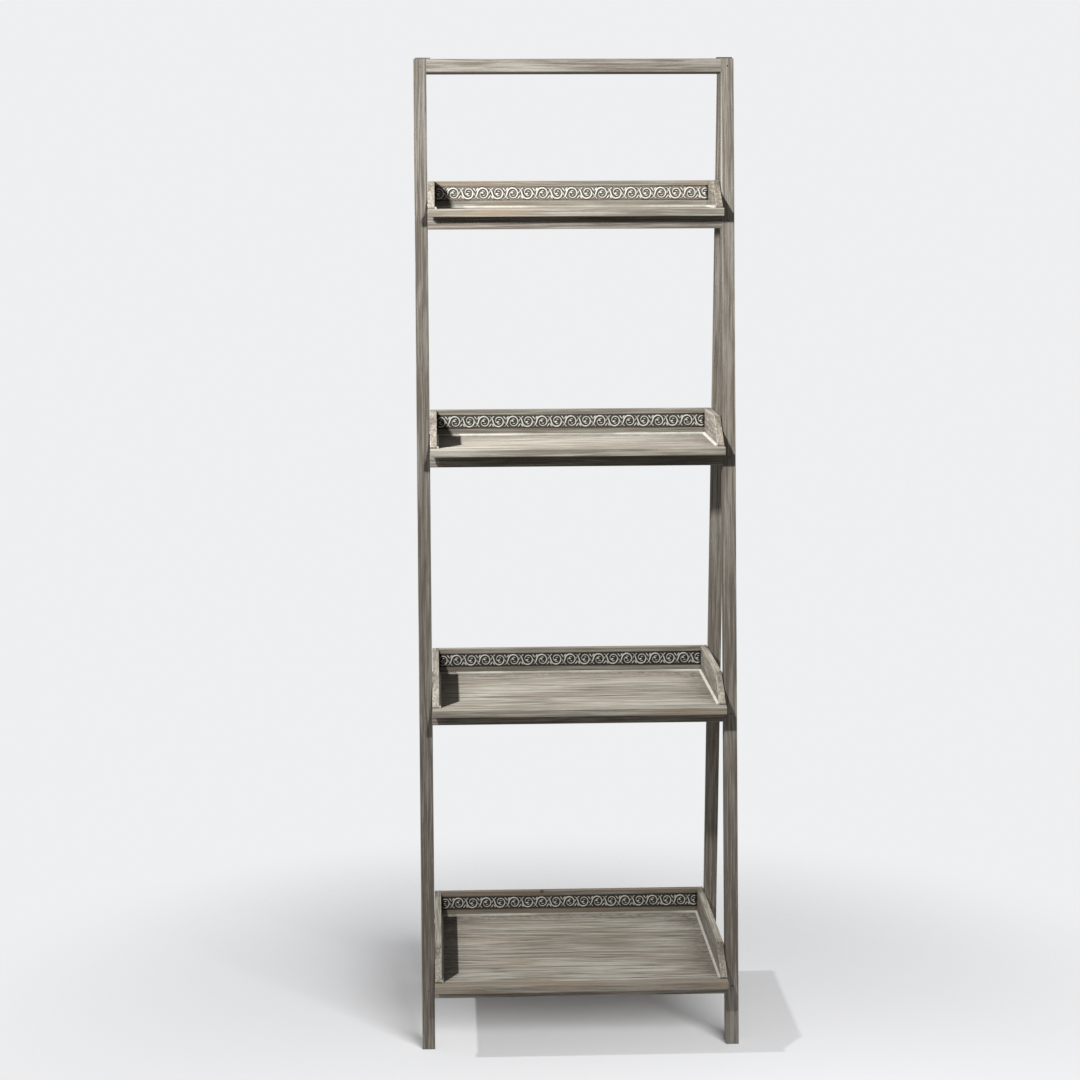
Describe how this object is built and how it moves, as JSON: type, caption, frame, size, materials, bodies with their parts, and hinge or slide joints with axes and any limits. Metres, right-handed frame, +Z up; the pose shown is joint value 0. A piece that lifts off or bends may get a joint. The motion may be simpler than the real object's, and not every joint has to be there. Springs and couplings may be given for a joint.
{
  "type": "folding shelf stand",
  "caption": "Folding A-frame shelf stand in washed wood: open trays with a carved scroll frieze pivot on the rear legs and rest on the front rungs, under a hinged top.",
  "frame": {"origin": "on the floor, under the middle of the open stand's overall box", "axes": "+Z up, front towards -Y, +X to the right as seen from the front"},
  "size_m": [0.45, 0.3572, 1.3907],
  "materials": {
    "frame_wood": "brown-grey wash",
    "tray_wood": "grey lime wash",
    "frieze_wood": "grey lime wash, carved",
    "bead_wood": "pale lime wash",
    "hinge_metal": "dark bronze",
    "pivot_metal": "dull steel"
  },
  "bodies": {
    "front_frame": {"front_left_stile": "frame_wood", "front_right_stile": "frame_wood", "front_top_rail": "frame_wood", "front_rung_1": "frame_wood", "front_rung_2": "frame_wood", "front_rung_3": "frame_wood", "front_rung_4": "frame_wood", "left_hinge_front_leaf": "hinge_metal", "right_hinge_front_leaf": "hinge_metal", "left_hinge_pin": "hinge_metal", "right_hinge_pin": "hinge_metal"},
    "rear_frame": {"rear_left_leg": "frame_wood", "rear_right_leg": "frame_wood", "rear_top_rail": "frame_wood", "rear_rung_2": "frame_wood", "rear_rung_3": "frame_wood", "rear_rung_4": "frame_wood", "left_hinge_rear_leaf": "hinge_metal", "right_hinge_rear_leaf": "hinge_metal"},
    "tray_1": {"tray_1_floor": "tray_wood", "tray_1_front_strip": "tray_wood", "tray_1_left_side": "tray_wood", "tray_1_right_side": "tray_wood", "tray_1_back_board": "tray_wood", "tray_1_frieze_strip": "frieze_wood", "tray_1_corner_beads": "bead_wood", "tray_1_stop_batten": "tray_wood", "tray_1_pivots": "pivot_metal"},
    "tray_2": {"tray_2_floor": "tray_wood", "tray_2_front_strip": "tray_wood", "tray_2_left_side": "tray_wood", "tray_2_right_side": "tray_wood", "tray_2_back_board": "tray_wood", "tray_2_frieze_strip": "frieze_wood", "tray_2_corner_beads": "bead_wood", "tray_2_stop_batten": "tray_wood", "tray_2_pivots": "pivot_metal"},
    "tray_3": {"tray_3_floor": "tray_wood", "tray_3_front_strip": "tray_wood", "tray_3_left_side": "tray_wood", "tray_3_right_side": "tray_wood", "tray_3_back_board": "tray_wood", "tray_3_frieze_strip": "frieze_wood", "tray_3_corner_beads": "bead_wood", "tray_3_stop_batten": "tray_wood", "tray_3_pivots": "pivot_metal"},
    "tray_4": {"tray_4_floor": "tray_wood", "tray_4_front_strip": "tray_wood", "tray_4_left_side": "tray_wood", "tray_4_right_side": "tray_wood", "tray_4_back_board": "tray_wood", "tray_4_frieze_strip": "frieze_wood", "tray_4_corner_beads": "bead_wood", "tray_4_stop_batten": "tray_wood", "tray_4_pivots": "pivot_metal"}
  },
  "joints": [
    {"name": "frame_fold", "type": "hinge", "parent": "front_frame", "child": "rear_frame", "pos_m": [0, 0.01448, 1.38745], "axis": [-1, 0, 0], "range_deg": [0, 11.48]},
    {"name": "tray_1_swing", "type": "hinge", "parent": "rear_frame", "child": "tray_1", "pos_m": [0, 0.04747, 1.1842], "axis": [-1, 0, 0], "range_deg": [0, 84.26]},
    {"name": "tray_2_swing", "type": "hinge", "parent": "rear_frame", "child": "tray_2", "pos_m": [0, 0.08084, 0.8522], "axis": [-1, 0, 0], "range_deg": [0, 84.26]},
    {"name": "tray_3_swing", "type": "hinge", "parent": "rear_frame", "child": "tray_3", "pos_m": [0, 0.11723, 0.4902], "axis": [-1, 0, 0], "range_deg": [0, 84.26]},
    {"name": "tray_4_swing", "type": "hinge", "parent": "rear_frame", "child": "tray_4", "pos_m": [0, 0.15603, 0.1042], "axis": [-1, 0, 0], "range_deg": [0, 84.26]}
  ],
  "couplings": [
    {"joint": "tray_1_swing", "follows": "frame_fold", "ratio": 7.3397},
    {"joint": "tray_2_swing", "follows": "frame_fold", "ratio": 7.3397},
    {"joint": "tray_3_swing", "follows": "frame_fold", "ratio": 7.3397},
    {"joint": "tray_4_swing", "follows": "frame_fold", "ratio": 7.3397}
  ]
}
